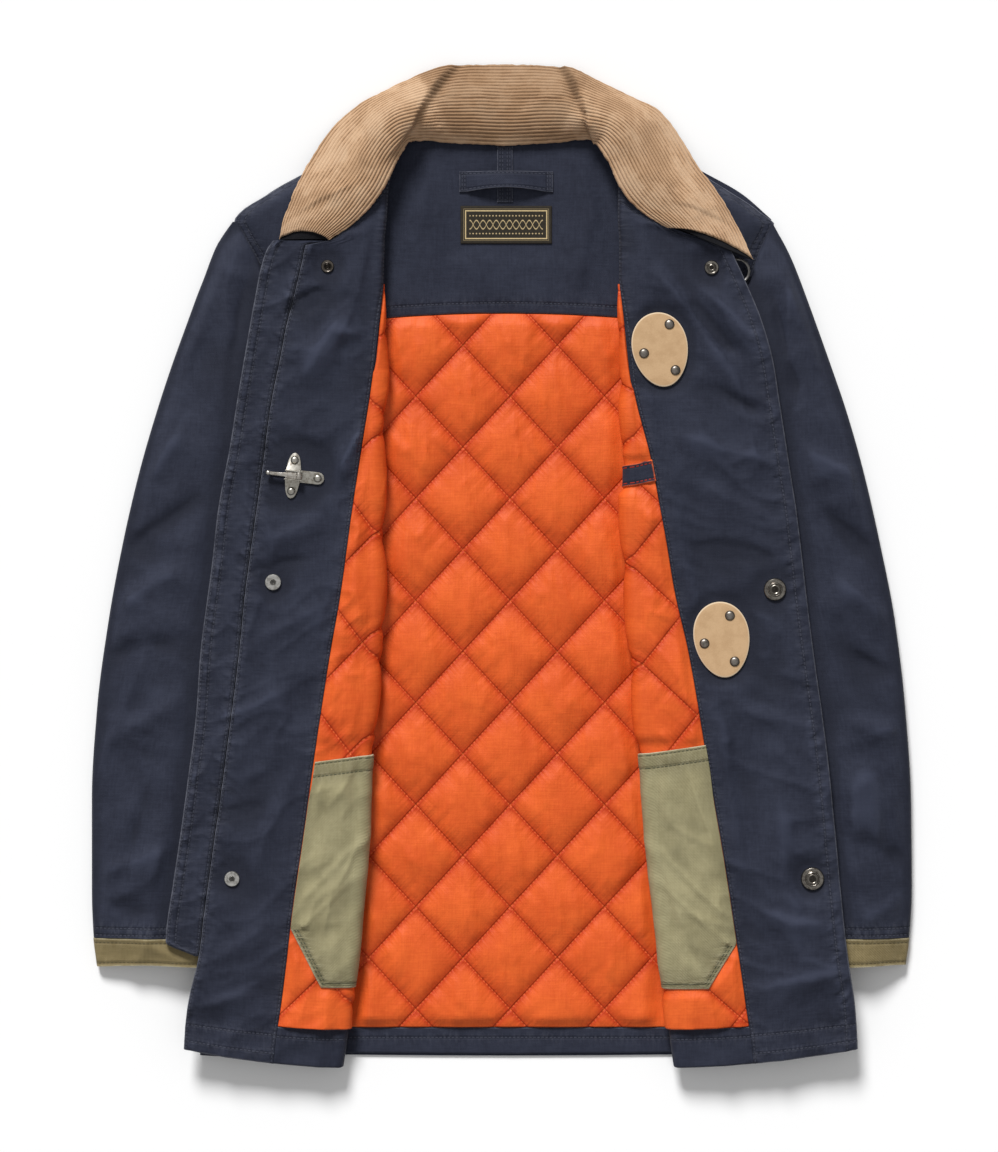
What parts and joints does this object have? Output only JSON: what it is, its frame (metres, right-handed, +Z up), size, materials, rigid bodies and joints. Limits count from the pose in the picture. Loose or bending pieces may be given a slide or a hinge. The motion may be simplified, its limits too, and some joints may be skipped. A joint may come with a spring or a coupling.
{
  "type": "firefighter jacket",
  "caption": "Firefighter jacket laid flat on its back, fronts folded open over the sleeves, with quilted lining, corduroy collar, snaps and a hinged clasp.",
  "frame": {"origin": "on the table under the middle of the back panel, on the centre line of the back", "axes": "+Z up off the table, +Y from the hem towards the collar, +X towards the wearer's left front"},
  "size_m": [0.6825, 0.8346, 0.0348],
  "materials": {
    "navy": "dense navy cotton canvas, matt",
    "navy_inside": "navy cotton canvas, matt",
    "orange": "smooth quilted nylon with a soft sheen",
    "corduroy": "tan corduroy",
    "olive": "pale olive cotton twill",
    "olive_brown": "olive-brown cotton canvas",
    "label": "black woven label",
    "suede": "tan suede",
    "nickel": "aged nickel plating",
    "gunmetal": "dark gunmetal plating"
  },
  "bodies": {
    "jacket": {"back_outer": "navy", "back_yoke_facing": "navy_inside", "back_lining": "orange", "back_hem": "navy_inside", "front_outer_right": "navy", "front_outer_left": "navy", "front_lining_right": "orange", "front_lining_left": "orange", "front_facing_right": "navy_inside", "front_facing_left": "navy_inside", "front_hem_right": "navy_inside", "front_hem_left": "navy_inside", "pocket_right": "olive", "pocket_left": "olive", "placket_strip": "navy", "breast_welt": "navy_inside", "sleeve_right": "navy", "sleeve_left": "navy", "cuff_right": "olive_brown", "cuff_left": "olive_brown", "collar_top": "corduroy", "collar_under": "navy", "loop_tape": "navy_inside", "neck_label": "label", "hanger_loop": "navy", "snap_top_right": "gunmetal", "snap_middle_right": "nickel", "snap_bottom_right": "nickel", "snap_top_left": "gunmetal", "snap_middle_left": "gunmetal", "snap_bottom_left": "gunmetal", "patch_upper": "suede", "patch_upper_rivet_1": "gunmetal", "patch_upper_rivet_2": "gunmetal", "patch_upper_rivet_3": "gunmetal", "patch_lower": "suede", "patch_lower_rivet_1": "gunmetal", "patch_lower_rivet_2": "gunmetal", "patch_lower_rivet_3": "gunmetal", "clasp_plate": "nickel", "clasp_rivet_1": "nickel", "clasp_rivet_2": "nickel", "clasp_rivet_3": "nickel", "edge_ring": "gunmetal", "edge_ring_tab": "navy"},
    "clasp_lever": {"clasp_lever": "nickel"}
  },
  "joints": [
    {"name": "clasp_lever_hinge", "type": "hinge", "parent": "jacket", "child": "clasp_lever", "pos_m": [-0.17033, 0.07421, 0.0288], "axis": [0.1132, 0.9936, 0], "range_deg": [0, 75]}
  ]
}
